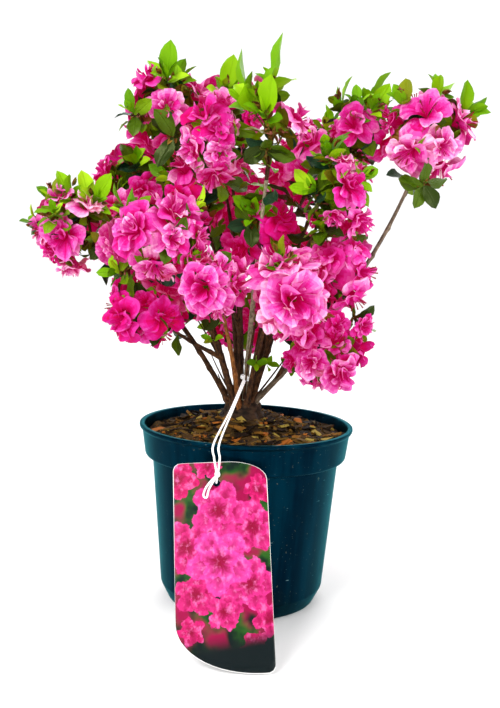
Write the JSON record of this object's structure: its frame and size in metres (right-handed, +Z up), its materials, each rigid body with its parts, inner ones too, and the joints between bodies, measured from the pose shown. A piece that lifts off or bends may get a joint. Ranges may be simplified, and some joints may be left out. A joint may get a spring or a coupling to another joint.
{
  "type": "potted azalea shrub",
  "caption": "Flowering evergreen azalea shrub with double pink blooms, leafy shoots and fanned stems, growing in a round nursery pot of bark mulch with a leaning plant label on a string.",
  "frame": {"origin": "centre of the pot's flat underside, on the floor", "axes": "+Z up, -Y towards the front where the label leans, +X to the right seen from the front"},
  "size_m": [0.3827, 0.3168, 0.4846],
  "materials": {
    "pot": "semi-gloss dark blue-green moulded plastic",
    "mulch": "matte bark chips and dark compost",
    "bark": "matte brown bark with grey streaks",
    "blossom": "soft petals, deep pink at the heart and pale pink at the edges",
    "leaf": "satin leaves, bright green when young and dark green when old",
    "label_card": "printed satin card",
    "label_string": "white elastic string"
  },
  "bodies": {
    "root": {"label_card": "label_card", "label_string": "label_string", "mass_back_left": "blossom", "mass_back_left_low": "blossom", "mass_back_low": "blossom", "mass_back_mid": "blossom", "mass_back_right": "blossom", "mass_back_right_low": "blossom", "mass_back_top": "blossom", "mass_centre_back": "blossom", "mass_centre_front": "blossom", "mass_centre_left": "blossom", "mass_centre_mid": "blossom", "mass_far_left": "blossom", "mass_far_right": "blossom", "mass_leader": "blossom", "mass_left_front": "blossom", "mass_left_low": "blossom", "mass_right": "blossom", "mass_right_low": "blossom", "mass_right_mid": "blossom", "mass_right_up": "blossom", "mass_upper_left": "blossom", "mass_upper_mid": "blossom", "mulch": "mulch", "pot": "pot", "stem_back_left": "bark", "stem_back_left_low": "bark", "stem_back_low": "bark", "stem_back_mid": "bark", "stem_back_right": "bark", "stem_back_right_low": "bark", "stem_back_top": "bark", "stem_centre_back": "bark", "stem_centre_front": "bark", "stem_centre_left": "bark", "stem_centre_mid": "bark", "stem_far_left": "bark", "stem_far_right": "bark", "stem_leader": "bark", "stem_left_front": "bark", "stem_left_low": "bark", "stem_right": "bark", "stem_right_low": "bark", "stem_right_mid": "bark", "stem_right_up": "bark", "stem_upper_left": "bark", "stem_upper_mid": "bark", "trunk": "bark"}
  },
  "joints": []
}
